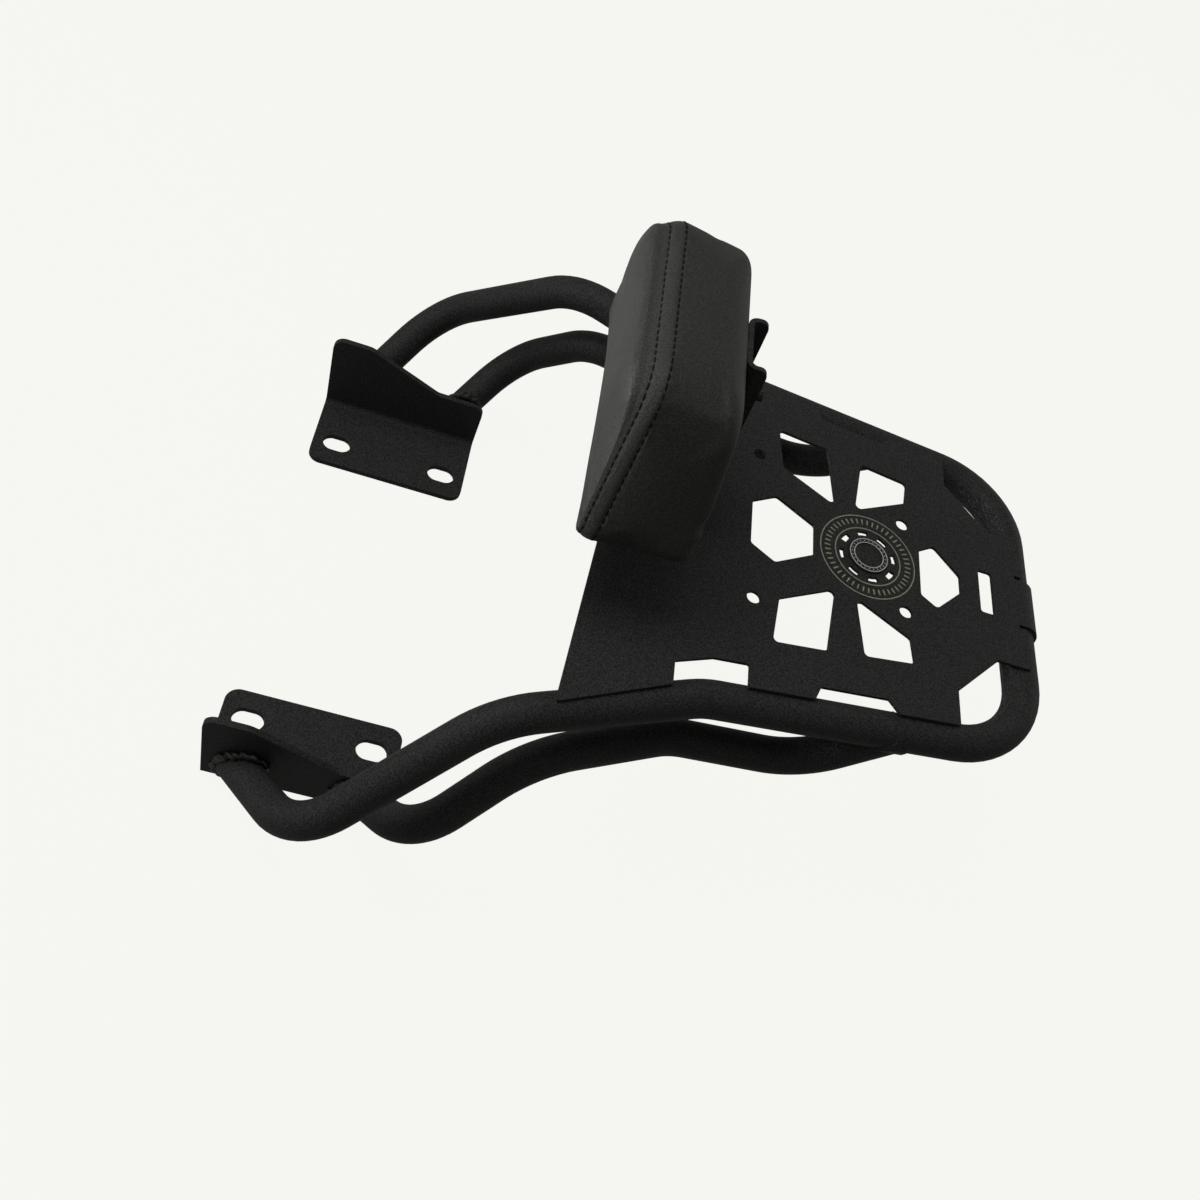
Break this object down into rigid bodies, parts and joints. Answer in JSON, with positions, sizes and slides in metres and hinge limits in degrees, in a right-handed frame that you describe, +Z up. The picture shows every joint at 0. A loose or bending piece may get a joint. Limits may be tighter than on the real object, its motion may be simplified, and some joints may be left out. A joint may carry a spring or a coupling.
{
  "type": "motorcycle luggage rack",
  "caption": "Black bent-tube luggage rack with a pierced sheet deck, folded slotted brackets and a leaning channel that carries a stitched vinyl backrest pad.",
  "frame": {"origin": "centre of the four bracket slots, on the underside of the bracket leaves", "axes": "+X towards the motorcycle's front, +Y to its left, +Z up"},
  "size_m": [0.4721, 0.4378, 0.3201],
  "materials": {
    "powder_coat": "fine-textured matt black powder coat",
    "vinyl": "matt black upholstery vinyl with a fine grain",
    "board": "dark stained plywood",
    "foam": "dark grey upholstery foam",
    "fixings": "black zinc plated steel",
    "badge": "black with a pale grey rim, no lettering"
  },
  "bodies": {
    "root": {"upper_loop_tube": "powder_coat", "lower_tube_left": "powder_coat", "lower_tube_right": "powder_coat", "rack_plate": "powder_coat", "bracket_left": "powder_coat", "bracket_right": "powder_coat", "backrest_channel": "powder_coat", "upper_tube_welds": "powder_coat", "lower_tube_front_welds": "powder_coat", "lower_tube_rear_welds": "powder_coat", "deck_welds": "powder_coat", "channel_weld": "powder_coat", "pad_board": "board", "pad_foam": "foam", "pad_boxing": "vinyl", "pad_edge_strip": "vinyl", "pad_front_panel": "vinyl", "pad_studs": "fixings", "pad_washers": "fixings", "pad_nuts": "fixings", "centre_badge": "badge"}
  },
  "joints": []
}
